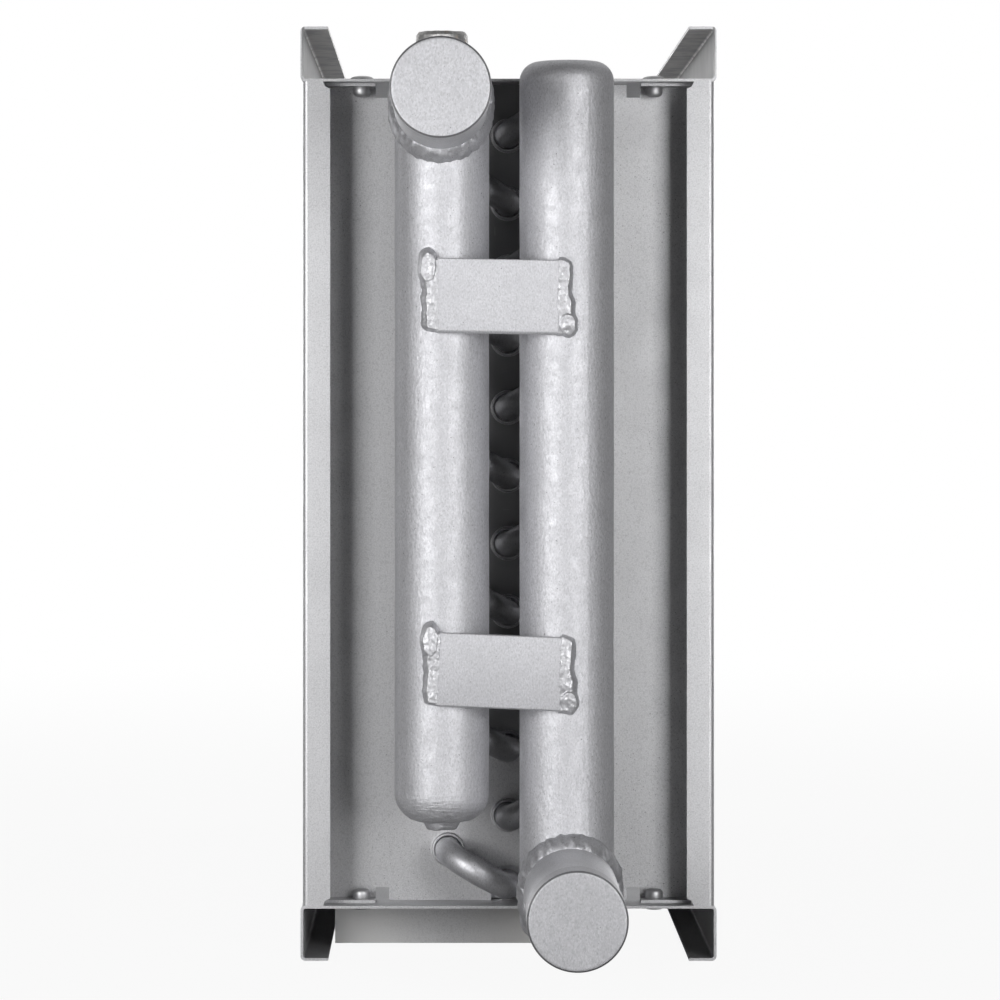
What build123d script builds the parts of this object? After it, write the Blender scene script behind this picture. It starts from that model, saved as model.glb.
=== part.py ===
from build123d import *
from math import cos, hypot, radians, sin
import os

# A hot-water heating coil for a rectangular ventilation duct.
# Air flows along X, the finned tubes run along Y, and Z is up. The pipe side, with the two headers and
# their capped connections, faces -Y. The coil stands on its lower flanges, and the origin is on that
# surface, under the middle of the whole coil.

# Casing of folded galvanised sheet
duct_width = 500.0  # between the two end plates
casing_length = 151.4  # over the duct flanges, along the air stream
sheet = 1.0
flange = 20.0  # from the duct wall's inner face to the outside of its lip
lip = 10.0  # width of the return lip at the flange's edge
fold_radius = 1.8  # outside radius of every fold
plate_inset = 0.8  # the end plates' flanges stand this far inside the panels' flanges

# Tabs that hold the end plates to the panels, one rivet in each
tab_width = 18.4
tab_reach = 9.5  # from the plate's outer face to the tab's free edge
tab_inset = 7.9  # the tab's outer end, from the outside of the plate's flange
notch_width = 4.9  # relief beside the tab, towards the middle
notch_depth = 4.7
slit_width = 1.6  # relief beside the tab, towards the flange
lip_bite = 2.6  # reach of the relief at the lips' inner corners
rivet_shift = 4.2  # from the tab's middle, towards the middle of the casing
rivet_radius = 2.4
rivet_hole_clearance = 0.1
rivet_head_radius = 4.7
rivet_head_height = 2.0
rivet_tail_radius = 3.2
rivet_tail_height = 3.9

# Support angle under the bottom panel, beside the pipe side
support_height = 16.8
support_foot = 14.0
support_setback = 34.0  # behind the lips of the pipe side
support_inset = 11.7  # its left end, from the outside of the panel's flange
support_length = 90.0

# Small round forms are drawn with flat sides, to keep the model light
small_sides = 8
rivet_sides = 6

# Tubes: three staggered rows
tube_radius = 4.76
tube_sides = 6
bend_steps = 4  # straight runs that make up a half turn
tubes_per_row = 12
tube_pitch = 25.0  # along Z; the duct's height is a whole number of pitches
row_pitch = 22.0  # along X
tube_end_reach = 6.0  # hairpin ends, beyond the plate on the pipe side
plate_hole_clearance = 0.3
edge_slot_width = 12.5  # open slots for the tubes nearest the panels
far_bend_start = 0.6  # beyond the far plate's outer face
return_bend_leg = 3.0

# Fin pack, drawn as one block with a comb of gaps on each air face
fin_margin = 1.0  # from the end plates
fin_height_clearance = 0.5  # from the panels
fin_gap_count = 36
fin_gap_depth = 5.4
fin_gap_share = 0.4  # of the pitch
fin_clearance = 0.05  # round the expanded tubes

# Headers of steel pipe
pipe_radius = 16.85
header_standoff = 48.0  # header axis, from the pipe-side plate's outer face
header_spacing = 44.6
header_shift = -1.9  # middle of the pair, from the middle of the casing
left_header_foot = 33.7  # above the bottom panel
left_header_rise = 7.0  # above the top panel
right_header_drop = 9.0  # below the bottom panel
right_header_rise = 5.6
low_end_bevel = 8.0  # stands for the rounding of the closed ends
high_end_bevel = 5.0
end_weld_radius = 6.4  # closing weld under the left header
end_weld_height = 3.3

# Connections
stub_reach = 95.0  # from the header's axis to the cap's face
left_stub_drop = 10.4  # axis, below the top panel
right_stub_rise = 9.2  # axis, above the bottom panel
left_stub_shift = -0.3  # axis, beside the header's axis
right_stub_shift = 1.2
stub_bore_radius = 13.6
pipe_end_radius = 15.6  # of the plain form that stands for the threaded end
hidden_sides = 8  # sides of the round forms that the caps hide
cap_radius = 17.2
cap_clearance = 0.1
cap_face = 1.5
cap_length = 15.0
vent_radius = 9.3
vent_sides = 16
vent_height = 8.5

# Straps welded across the two headers
strap_length = 43.5
strap_width = 25.5
strap_thickness = 3.5
strap_shift = -2.0  # from the middle of the header pair
upper_strap_drop = 78.8  # middle of the strap, below the top panel
upper_strap_tilt = -1.0
lower_strap_rise = 88.5  # middle of the strap, above the bottom panel
lower_strap_tilt = -2.5
bead_width = 7.0
bead_overhang = 3.0  # past the strap's upper and lower edges
bead_lap = 1.5  # onto the strap's end
bead_rise = 0.6  # in front of the strap
bead_corner = 1.6

# Places worked out from the sizes above
duct_height = tubes_per_row * tube_pitch
pipe_side_reach = sheet + header_standoff + stub_reach
depth = pipe_side_reach + duct_width + flange
front_wall = pipe_side_reach - depth / 2  # inner face of the pipe-side plate
front_face = front_wall - sheet
front_lip = front_wall - flange
far_wall = front_wall + duct_width
far_face = far_wall + sheet
far_lip = far_wall + flange
duct_middle = (front_wall + far_wall) / 2
middle = flange + duct_height / 2
duct_floor = flange
duct_roof = flange + duct_height
panel_edge = casing_length / 2
plate_edge = panel_edge - plate_inset
header_y = front_face - header_standoff
left_header_x = header_shift - header_spacing / 2
right_header_x = header_shift + header_spacing / 2
crest_y = header_y - pipe_radius
cap_y = header_y - stub_reach
left_header_low = duct_floor + left_header_foot
left_header_high = duct_roof + left_header_rise
right_header_low = duct_floor - right_header_drop
right_header_high = duct_roof + right_header_rise
left_stub_z = duct_roof - left_stub_drop
right_stub_z = duct_floor + right_stub_rise
left_stub_x = left_header_x + left_stub_shift
right_stub_x = right_header_x + right_stub_shift
tab_end = plate_edge - tab_inset
tab_middle = tab_end - tab_width / 2
tab_inner_end = tab_end - tab_width
rivet_x = tab_middle - rivet_shift
rivet_y = front_face - tab_reach / 2
far_rivet_y = far_face + tab_reach / 2
rivet_hole_radius = rivet_radius + rivet_hole_clearance
tube_end_y = front_face - tube_end_reach
far_bend_y = far_face + far_bend_start
row_height = (tubes_per_row - 1) * tube_pitch / 2
half_side = 180 / small_sides  # turns a flat side to face sideways

LEFT, MIDDLE, RIGHT = -1, 0, 1


def finish(name, label):
    """Labels a finished piece and writes it to its own file."""
    name.part.label = label
    export_step(name.part, f"parts/{label}.step")


def upright(y):
    """The XZ plane at the given depth, facing the pipe side."""
    return Plane.XZ.offset(-y)


def tube_place(row, number):
    """X and Z of a tube, counted down from the top. The middle row sits half a pitch lower."""
    stagger = -tube_pitch / 4 if row == MIDDLE else tube_pitch / 4
    return row * row_pitch, middle + row_height + stagger - number * tube_pitch


def all_tube_places():
    return [tube_place(row, n) for row in (LEFT, MIDDLE, RIGHT) for n in range(tubes_per_row)]


def near_panel(place):
    """True for a tube whose hole would break through the plate's edge."""
    room = min(place[1] - duct_floor, duct_roof - place[1])
    return room < tube_pitch / 2 - sheet


# Sheet-metal casing


def folded_profile(plane, edge, wall, lip_face):
    """Section of a wall with a flange and a return lip at each side, from the outside of its folds."""
    outside = [
        (lip - edge, lip_face),
        (-edge, lip_face),
        (-edge, wall),
        (edge, wall),
        (edge, lip_face),
        (edge - lip, lip_face),
    ]
    with BuildSketch(plane) as section:
        with BuildLine():
            FilletPolyline(*outside, radius=fold_radius)
            offset(amount=sheet, side=Side.RIGHT)
        make_face()
    return section.sketch


def make_bottom_panel():
    rivets = [(x, y) for x in (-rivet_x, rivet_x) for y in (rivet_y, far_rivet_y)]
    with BuildPart() as panel:
        extrude(folded_profile(upright(far_lip), panel_edge, duct_floor, 0), amount=far_lip - front_lip)
        with BuildSketch():
            with Locations(*rivets):
                rivet_outline(rivet_hole_radius)
        extrude(amount=duct_floor, mode=Mode.SUBTRACT)
    return panel


def make_end_plate():
    """The pipe-side plate: flanges, lips and tabs folded to the pipe side, and a hole for each tube."""
    corners = [(side, z) for side in (-1, 1) for z in (duct_floor, duct_roof)]
    tab_levels = [(side, duct_floor + sheet / 2) for side in (-1, 1)]
    tab_levels += [(side, duct_roof - sheet / 2) for side in (-1, 1)]
    round_holes = [place for place in all_tube_places() if not near_panel(place)]
    edge_holes = [place for place in all_tube_places() if near_panel(place)]
    with BuildPart() as plate:
        profile = folded_profile(Plane.XY.offset(duct_floor), plate_edge, front_wall, front_lip)
        extrude(profile, amount=duct_height)
        # Reliefs at both ends of each tab, the inner one wide
        with BuildSketch(upright(front_wall)):
            with Locations(*[(side * (tab_inner_end - notch_width / 2), z) for side, z in corners]):
                Rectangle(notch_width, 2 * notch_depth)
            with Locations(*[(side * (tab_end + slit_width / 2), z) for side, z in corners]):
                Rectangle(slit_width, 2 * notch_depth)
        extrude(amount=sheet, mode=Mode.SUBTRACT)
        # Reliefs at the inner corners of the lips
        with BuildSketch(upright(front_lip + sheet)):
            with Locations(*[(side * (plate_edge - lip), z) for side, z in corners]):
                RegularPolygon(lip_bite, small_sides)
        extrude(amount=sheet, mode=Mode.SUBTRACT)
        # Tabs, flat against the panels
        with BuildSketch(upright(front_wall)):
            with Locations(*[(side * tab_middle, z) for side, z in tab_levels]):
                Rectangle(tab_width, sheet)
        extrude(amount=sheet + tab_reach)
        wall_edges = plate.faces().sort_by(Axis.Y)[-1].edges()
        folds = [wall_edges.sort_by_distance((side * tab_middle, front_wall, z))[0] for side, z in corners]
        chamfer(folds, fold_radius)
        with BuildSketch(Plane.XY.offset(duct_floor)):
            with Locations((-rivet_x, rivet_y), (rivet_x, rivet_y)):
                rivet_outline(rivet_hole_radius)
        extrude(amount=duct_height, mode=Mode.SUBTRACT)
        # Tube holes, and open slots for the tubes nearest the panels
        with BuildSketch(upright(front_wall)):
            with Locations(*round_holes):
                tube_outline(plate_hole_clearance)
            for x, z in edge_holes:
                toward_edge = tube_pitch if z > middle else -tube_pitch
                with Locations((x, z + toward_edge / 2)):
                    Rectangle(edge_slot_width, tube_pitch)
                with Locations((x, z)):
                    RegularPolygon(edge_slot_width / 2, small_sides, major_radius=False, rotation=half_side)
        extrude(amount=sheet, mode=Mode.SUBTRACT)
    return plate


def rivet_outline(radius):
    """Section of a rivet or of its hole, drawn with flat sides."""
    return RegularPolygon(radius, rivet_sides)


def make_rivets(y):
    """Four blind rivets at one end of the casing, each a head outside, a shank and a tail inside."""
    with BuildPart() as group:
        for panel_z, outward in ((duct_floor, -1), (duct_roof, 1)):
            for x in (-rivet_x, rivet_x):
                seat = panel_z + outward * sheet
                tail_top = panel_z - outward * (sheet + rivet_tail_height)
                with BuildSketch(Plane((x, y, seat), z_dir=(0, 0, outward))):
                    rivet_outline(rivet_head_radius)
                extrude(amount=rivet_head_height)
                with BuildSketch(Plane((x, y, seat), z_dir=(0, 0, -outward))):
                    rivet_outline(rivet_radius)
                extrude(amount=2 * sheet)
                with BuildSketch(Plane((x, y, tail_top), z_dir=(0, 0, outward))):
                    rivet_outline(rivet_tail_radius)
                extrude(amount=rivet_tail_height)
    return group


def make_support_angle():
    """A plain angle under the bottom panel, its upright leg facing the pipe side."""
    back = front_lip + support_setback
    top = duct_floor - sheet
    leg = [(back, top - support_height), (back, top), (back + support_foot, top)]
    with BuildPart() as angle:
        with BuildSketch(Plane.YZ.offset(support_inset - panel_edge)):
            with BuildLine():
                FilletPolyline(*leg, radius=fold_radius)
                offset(amount=sheet, side=Side.RIGHT)
            make_face()
        extrude(amount=support_length)
    return angle


# Finned tubes


def tube_outline(clearance=0.0):
    """Section of a tube or of the hole round it, measured across its flats."""
    return RegularPolygon(tube_radius + clearance, tube_sides, major_radius=False)


def make_fin_pack():
    """Aluminium fins as one block: a comb of gaps on both air faces, and a hole for each tube."""
    pack_length = duct_width - 2 * fin_margin
    pack_depth = 3 * row_pitch
    gap_pitch = pack_length / fin_gap_count
    height = duct_height - 2 * fin_height_clearance
    with BuildPart() as pack:
        with BuildSketch(Plane.XY.offset(duct_floor + fin_height_clearance)):
            with Locations((0, duct_middle)):
                Rectangle(pack_depth, pack_length)
                with GridLocations(pack_depth - fin_gap_depth, gap_pitch, 2, fin_gap_count):
                    Rectangle(fin_gap_depth, gap_pitch * fin_gap_share, mode=Mode.SUBTRACT)
        extrude(amount=height)
        with BuildSketch(upright(far_wall)):
            with Locations(*all_tube_places()):
                tube_outline(fin_clearance)
        extrude(amount=duct_width, mode=Mode.SUBTRACT)
    return pack


def make_bent_tube(start, end, leg_y, bend_y):
    """A tube with two straight legs from leg_y to bend_y, joined there by a half turn."""
    (x1, z1), (x2, z2) = start, end
    spread = hypot(x2 - x1, z2 - z1)
    leg = abs(bend_y - leg_y)
    outward = (0, 1 if bend_y > leg_y else -1, 0)
    across = Vector(x2 - x1, 0, z2 - z1)
    centre = ((x1 + x2) / 2, bend_y, (z1 + z2) / 2)
    turn = [radians(180 * step / bend_steps - 90) for step in range(bend_steps + 1)]
    points = [(-leg, -spread / 2)]
    points += [(spread / 2 * cos(angle), spread / 2 * sin(angle)) for angle in turn]
    points += [(-leg, spread / 2)]
    with BuildPart() as tube:
        with BuildLine(Plane(centre, x_dir=outward, z_dir=Vector(*outward).cross(across))):
            Polyline(*points)
        with BuildSketch(Plane((x1, leg_y, z1), x_dir=(1, 0, 0), z_dir=outward)):
            tube_outline()
        sweep(transition=Transition.RIGHT)
    return tube


def make_hairpin(row, number):
    """A hairpin: two legs through both plates and the fins, bent beyond the far plate."""
    return make_bent_tube(tube_place(row, number), tube_place(row, number + 1), tube_end_y, far_bend_y)


def make_return_bend(start, end):
    """A bend brazed onto two hairpin ends on the pipe side."""
    return make_bent_tube(start, end, tube_end_y, tube_end_y - return_bend_leg)


def make_feeder(place, header):
    """A straight tube from a hairpin's end into the back of a header."""
    with BuildPart() as feeder:
        with BuildSketch(upright(tube_end_y)):
            with Locations(place):
                tube_outline()
        extrude(amount=tube_end_y - header_y)
        add(header.part, mode=Mode.SUBTRACT)
    return feeder


# Headers and connections


def make_header(x, low, high):
    """A closed length of steel pipe with bevelled ends."""
    with BuildPart() as header:
        with BuildSketch(Plane.XY.offset(low)):
            with Locations((x, header_y)):
                Circle(pipe_radius)
        extrude(amount=high - low)
        for end, bevel in ((0, low_end_bevel), (-1, high_end_bevel)):
            rims = header.edges().filter_by(GeomType.CIRCLE).sort_by(Axis.Z)
            chamfer(rims[end], bevel)
    return header


def make_left_header():
    """The left header carries the weld that closed its lower end."""
    with BuildPart() as header:
        add(make_header(left_header_x, left_header_low, left_header_high).part)
        with BuildSketch(Plane((left_header_x, header_y, left_header_low), z_dir=(0, 0, -1))):
            RegularPolygon(end_weld_radius, small_sides)
        extrude(amount=end_weld_height)
    return header


def hidden_round(radius):
    """A round form that a cap hides, measured across its flats."""
    return RegularPolygon(radius, hidden_sides, major_radius=False)


def make_stub(x, z, header):
    """A connection pipe, shaped to its header, with its bore and a threaded end under the cap."""
    pipe_end = cap_y + cap_face
    shoulder = cap_y + cap_length
    with BuildPart() as stub:
        with BuildSketch(upright(header_y)):
            with Locations((x, z)):
                Circle(pipe_radius)
        extrude(amount=header_y - shoulder)
        with BuildSketch(upright(shoulder)):
            with Locations((x, z)):
                hidden_round(pipe_end_radius)
        extrude(amount=shoulder - pipe_end)
        with BuildSketch(upright(header_y)):
            with Locations((x, z)):
                hidden_round(stub_bore_radius)
        extrude(amount=header_y - pipe_end, mode=Mode.SUBTRACT)
        add(header.part, mode=Mode.SUBTRACT)
    return stub


def make_cap(x, z):
    """A thin cap over the pipe's threaded end, seated on its shoulder."""
    with BuildPart() as cap:
        with BuildSketch(upright(cap_y + cap_length)):
            with Locations((x, z)):
                Circle(cap_radius)
        extrude(amount=cap_length)
        with BuildSketch(upright(cap_y + cap_length)):
            with Locations((x, z)):
                hidden_round(pipe_end_radius + cap_clearance)
        extrude(amount=cap_length - cap_face, mode=Mode.SUBTRACT)
    return cap


def make_vent_boss():
    with BuildPart() as boss:
        with BuildSketch(Plane.XY.offset(left_header_high)):
            with Locations((left_header_x, header_y)):
                RegularPolygon(vent_radius, vent_sides)
        extrude(amount=vent_height)
    return boss


def make_strap(height, tilt, headers):
    """A flat bar across the fronts of both headers, with a weld bead along each end."""
    bar_x = header_shift + strap_shift
    reach = strap_length / 2 - bead_lap + bead_width / 2
    slope = radians(tilt)
    beads = [(bar_x + s * reach * cos(slope), height + s * reach * sin(slope)) for s in (-1, 1)]
    bead_back = crest_y + pipe_radius / 2
    bead_front = crest_y - strap_thickness - bead_rise
    with BuildPart() as strap:
        with BuildSketch(upright(bead_back)):
            with Locations(*beads):
                Rectangle(bead_width, strap_width + 2 * bead_overhang, rotation=tilt)
        extrude(amount=bead_back - bead_front)
        front = strap.faces().sort_by(Axis.Y).group_by(Axis.Y)[0]
        chamfer(front.edges(), bead_corner)
        for header in headers:
            add(header.part, mode=Mode.SUBTRACT)
        with BuildSketch(upright(crest_y)):
            with Locations((bar_x, height)):
                Rectangle(strap_length, strap_width, rotation=tilt)
        extrude(amount=strap_thickness)
    return strap


# The pieces

os.makedirs("parts", exist_ok=True)

bottom_panel = make_bottom_panel()
finish(bottom_panel, "bottom_panel")

with BuildPart() as top_panel:
    mirror(bottom_panel.part, about=Plane.XY.offset(middle))
finish(top_panel, "top_panel")

header_side_plate = make_end_plate()
finish(header_side_plate, "header_side_plate")

with BuildPart() as far_side_plate:
    mirror(header_side_plate.part, about=upright(duct_middle))
finish(far_side_plate, "far_side_plate")

finish(make_support_angle(), "support_angle")
finish(make_rivets(rivet_y), "header_side_rivets")
finish(make_rivets(far_rivet_y), "far_side_rivets")
finish(make_fin_pack(), "fin_pack")

left_header = make_left_header()
finish(left_header, "left_header")
right_header = make_header(right_header_x, right_header_low, right_header_high)
finish(right_header, "right_header")

# Water enters six circuits from the left header, and each crosses the duct six times to the right header:
# two tubes of the left row, two of the middle row and two of the right row.
circuit_count = tubes_per_row // 2
hairpin_number = 1
bend_number = 1
for circuit in range(circuit_count):
    upper = 2 * circuit
    lower = upper + 1
    for row in (LEFT, MIDDLE, RIGHT):
        finish(make_hairpin(row, upper), f"hairpin_{hairpin_number:02d}")
        hairpin_number += 1
    for start, end in (((MIDDLE, lower), (LEFT, lower)), ((MIDDLE, upper), (RIGHT, upper))):
        finish(make_return_bend(tube_place(*start), tube_place(*end)), f"return_bend_{bend_number:02d}")
        bend_number += 1
    finish(make_feeder(tube_place(LEFT, upper), left_header), f"left_feeder_{circuit + 1}")
    finish(make_feeder(tube_place(RIGHT, lower), right_header), f"right_feeder_{circuit + 1}")

finish(make_stub(left_stub_x, left_stub_z, left_header), "left_stub")
finish(make_stub(right_stub_x, right_stub_z, right_header), "right_stub")
finish(make_cap(left_stub_x, left_stub_z), "left_cap")
finish(make_cap(right_stub_x, right_stub_z), "right_cap")
finish(make_vent_boss(), "vent_boss")

both_headers = (left_header, right_header)
finish(make_strap(duct_roof - upper_strap_drop, upper_strap_tilt, both_headers), "upper_strap")
finish(make_strap(duct_floor + lower_strap_rise, lower_strap_tilt, both_headers), "lower_strap")
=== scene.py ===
import math
import random

import bpy
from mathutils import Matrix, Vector, noise


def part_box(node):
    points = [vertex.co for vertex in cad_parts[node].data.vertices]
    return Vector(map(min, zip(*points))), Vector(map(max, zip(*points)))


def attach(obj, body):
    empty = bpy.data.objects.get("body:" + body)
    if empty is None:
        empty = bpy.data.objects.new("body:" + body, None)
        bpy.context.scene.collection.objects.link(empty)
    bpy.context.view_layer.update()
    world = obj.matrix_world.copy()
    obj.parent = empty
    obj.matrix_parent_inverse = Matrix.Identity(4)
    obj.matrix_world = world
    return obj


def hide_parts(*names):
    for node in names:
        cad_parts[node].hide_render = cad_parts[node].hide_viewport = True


# A duct water heating coil: galvanised casing, silver-painted headers, caps, straps and tube ends.
# Lengths are in metres. Air flows along X, the tubes run along Y with the headers at -Y, and Z is up.

MM = 0.001
FRONT = Vector((0, -1, 0))
UP = Vector((0, 0, 1))

# Unseeded, this noise differs from run to run
noise.seed_set(3)

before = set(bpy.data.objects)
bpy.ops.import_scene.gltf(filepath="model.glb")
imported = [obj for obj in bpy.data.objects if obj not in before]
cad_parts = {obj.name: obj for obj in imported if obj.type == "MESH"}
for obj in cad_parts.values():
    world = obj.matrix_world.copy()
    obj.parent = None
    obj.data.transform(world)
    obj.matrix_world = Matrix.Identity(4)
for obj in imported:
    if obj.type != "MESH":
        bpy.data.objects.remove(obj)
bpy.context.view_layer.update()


# Places taken from the parts of model.glb

def middle_of(node):
    low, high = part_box(node)
    return (low + high) / 2


def half_size(node):
    low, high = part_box(node)
    return (high - low) / 2


sheet = 1.0 * MM
left_header = middle_of("left_header")
right_header = middle_of("right_header")
pipe_radius = half_size("right_header").x
nub_height = 3.3 * MM
left_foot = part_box("left_header")[0].z + nub_height
fin_low, fin_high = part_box("fin_pack")
near_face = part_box("header_side_plate")[1].y - sheet
far_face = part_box("far_side_plate")[0].y + sheet
duct_middle = (fin_low.z + fin_high.z) / 2
duct_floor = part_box("header_side_plate")[0].z
duct_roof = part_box("header_side_plate")[1].z

# The tube bundle, three staggered rows of twelve
tube_radius = 4.76 * MM
tube_pitch = 25.0 * MM
row_pitch = 22.0 * MM
tubes_per_row = 12
tube_end_reach = 6.0 * MM
bend_leg = 3.0 * MM
LEFT, MIDDLE, RIGHT = -1, 0, 1


def tube_place(row, number):
    """X and Z of a tube, counted down from the top. The middle row sits half a pitch lower."""
    stagger = -tube_pitch / 4 if row == MIDDLE else tube_pitch / 4
    top = duct_middle + (tubes_per_row - 1) * tube_pitch / 2 + stagger
    return row * row_pitch, top - number * tube_pitch


# Materials

def map_range(nodes, links, value, low, high, to_low=0.0, to_high=1.0):
    """Maps a value smoothly from low..high to another range."""
    made = nodes.new("ShaderNodeMapRange")
    made.interpolation_type = "SMOOTHSTEP"
    ends = (("From Min", low), ("From Max", high), ("To Min", to_low), ("To Max", to_high))
    for key, number in ends:
        made.inputs[key].default_value = number
    links.new(value, made.inputs["Value"])
    return made.outputs["Result"]


def combine(nodes, links, operation, first, second):
    """Result of one Math node; the second value is a socket or a number."""
    made = nodes.new("ShaderNodeMath")
    made.operation = operation
    links.new(first, made.inputs[0])
    if isinstance(second, float):
        made.inputs[1].default_value = second
    else:
        links.new(second, made.inputs[1])
    return made.outputs[0]


def shade(color, share):
    """The colour made darker, or brighter, by a share."""
    return [channel * share for channel in color]


class Look:
    """A material: a Principled shader whose colour, roughness and relief are built up in layers."""

    def __init__(self, name, color, metallic, roughness):
        self.material = bpy.data.materials.new(name)
        self.material.use_nodes = True
        self.nodes = self.material.node_tree.nodes
        self.links = self.material.node_tree.links
        self.shader = self.nodes["Principled BSDF"]
        self.shader.inputs["Base Color"].default_value = (*color, 1)
        self.shader.inputs["Metallic"].default_value = metallic
        self.shader.inputs["Roughness"].default_value = roughness
        self.color = None
        self.normal = None
        self.place = self.nodes.new("ShaderNodeTexCoord").outputs["Object"]

    def stretched(self, stretch, turn):
        """The place on the object, stretched along each axis and turned by degrees."""
        mapping = self.nodes.new("ShaderNodeMapping")
        mapping.inputs["Scale"].default_value = [1 / s for s in stretch]
        mapping.inputs["Rotation"].default_value = [math.radians(t) for t in turn]
        self.links.new(self.place, mapping.inputs["Vector"])
        return mapping.outputs["Vector"]

    def grain(self, size, stretch=(1, 1, 1), detail=2.0, turn=(0, 0, 0)):
        """Soft noise whose lumps are about the given size."""
        made = self.nodes.new("ShaderNodeTexNoise")
        made.inputs["Scale"].default_value = 1 / size
        made.inputs["Detail"].default_value = detail
        self.links.new(self.stretched(stretch, turn), made.inputs["Vector"])
        return made.outputs["Fac"]

    def ranged(self, value, low, high, to_low=0.0, to_high=1.0):
        return map_range(self.nodes, self.links, value, low, high, to_low, to_high)

    def times(self, first, second):
        return combine(self.nodes, self.links, "MULTIPLY", first, second)

    def spots(self, size, share, stretch=(1, 1, 1), turn=(0, 0, 0)):
        """Mask of scattered spots; a larger share makes more of them."""
        return self.ranged(self.grain(size, stretch, 1.0, turn), 0.74 - share, 0.78 - share)

    def tint(self, mask, color):
        """Lays a colour over the surface where the mask is high."""
        mix = self.nodes.new("ShaderNodeMix")
        mix.data_type = "RGBA"
        self.links.new(mask, mix.inputs["Factor"])
        below = mix.inputs[6]
        if self.color is None:
            below.default_value = self.shader.inputs["Base Color"].default_value
        else:
            self.links.new(self.color, below)
        mix.inputs[7].default_value = (*color, 1)
        self.color = mix.outputs[2]
        self.links.new(self.color, self.shader.inputs["Base Color"])

    def relief(self, height, depth):
        """Adds bumps of the given depth."""
        bump = self.nodes.new("ShaderNodeBump")
        bump.inputs["Strength"].default_value = 1.0
        bump.inputs["Distance"].default_value = depth
        self.links.new(height, bump.inputs["Height"])
        if self.normal is not None:
            self.links.new(self.normal, bump.inputs["Normal"])
        self.normal = bump.outputs["Normal"]
        self.links.new(self.normal, self.shader.inputs["Normal"])

    def roughness(self, value, low, high):
        """Lets the roughness wander between two values."""
        self.links.new(self.ranged(value, 0.3, 0.7, low, high), self.shader.inputs["Roughness"])

    def along(self, axis, start, end):
        """Mask that rises from 0 to 1 between two places on one axis."""
        split = self.nodes.new("ShaderNodeSeparateXYZ")
        self.links.new(self.place, split.inputs[0])
        return self.ranged(split.outputs["XYZ".index(axis)], start, end)


def silver_paint(name, color=(0.60, 0.60, 0.622), grain_depth=0.14, roughness=0.60, back=None):
    """Aluminium paint: grainy and satin, with fine pits. Behind the given Y it darkens: painted shade for
    the gap between the header pipes and the end plate.
    """
    look = Look(name, color, 0.85, roughness)
    bright_flakes = look.grain(0.55 * MM, (1, 1, 1.5), 1.0)
    dull_flakes = look.grain(0.60 * MM, (1, 1, 1.7), 1.0, (0, 14, 0))
    look.tint(look.ranged(bright_flakes, 0.42, 0.66), shade(color, 1.13))
    look.tint(look.ranged(dull_flakes, 0.52, 0.70), shade(color, 0.88))
    look.tint(look.ranged(look.grain(16 * MM), 0.4, 0.7, 0, 0.2), shade(color, 0.86))
    look.tint(look.spots(0.9 * MM, 0.0), shade(color, 0.5))
    # Painted shade: behind the given Y the paint turns dark, to darken the gap at the end plate
    if back is not None:
        look.tint(look.along("Y", back - 2 * MM, back + 4 * MM), (0.12, 0.12, 0.125))
    look.roughness(look.grain(3 * MM), roughness - 0.04, roughness + 0.04)
    look.relief(look.grain(1.0 * MM, (1, 1, 1.8), 2.0, (0, 18, 0)), grain_depth * MM)
    look.relief(look.grain(7 * MM, detail=1.0), 0.05 * MM)
    return look


def header_paint(name, foot):
    """Pipe paint with the uneven ridges of the closed low end."""
    look = silver_paint(name, back=header_shade_start)
    low_end = look.along("Z", foot + 14 * MM, foot + 3 * MM)
    ridges = look.grain(1.3 * MM, (3.5, 3.5, 0.7), 3.0, (0, 4, 0))
    look.relief(look.times(ridges, low_end), 0.5 * MM)
    return look


def cap_paint(name, color):
    """Cap paint, with a painted dark reflection round the edge of the cap's face."""
    look = silver_paint(name, color, 0.06)
    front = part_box("left_cap")[0].y
    # Painted reflection: a thin dark ring round the edge of the face
    rim_reflection = look.times(look.along("Y", front + 0.02 * MM, front + 0.10 * MM),
                     look.along("Y", front + 0.85 * MM, front + 0.60 * MM))
    look.tint(rim_reflection, shade(color, 0.30))
    return look


def galvanised(name):
    """Galvanised sheet: faint clouds and a fine grain."""
    look = Look(name, (0.565, 0.565, 0.577), 0.92, 0.50)
    bright_grain = look.grain(0.5 * MM, detail=1.0)
    dull_grain = look.grain(0.55 * MM, (1, 1, 1.3), 1.0, (0, 20, 0))
    look.tint(look.ranged(look.grain(22 * MM, detail=3.0), 0.35, 0.7, 0, 0.35), (0.50, 0.50, 0.512))
    look.tint(look.ranged(bright_grain, 0.40, 0.66), (0.63, 0.63, 0.642))
    look.tint(look.ranged(dull_grain, 0.52, 0.70), (0.50, 0.50, 0.512))
    look.roughness(look.grain(12 * MM, detail=3.0), 0.47, 0.54)
    look.relief(look.grain(0.8 * MM), 0.012 * MM)
    look.relief(look.grain(30 * MM, detail=1.0), 0.15 * MM)
    return look


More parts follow.
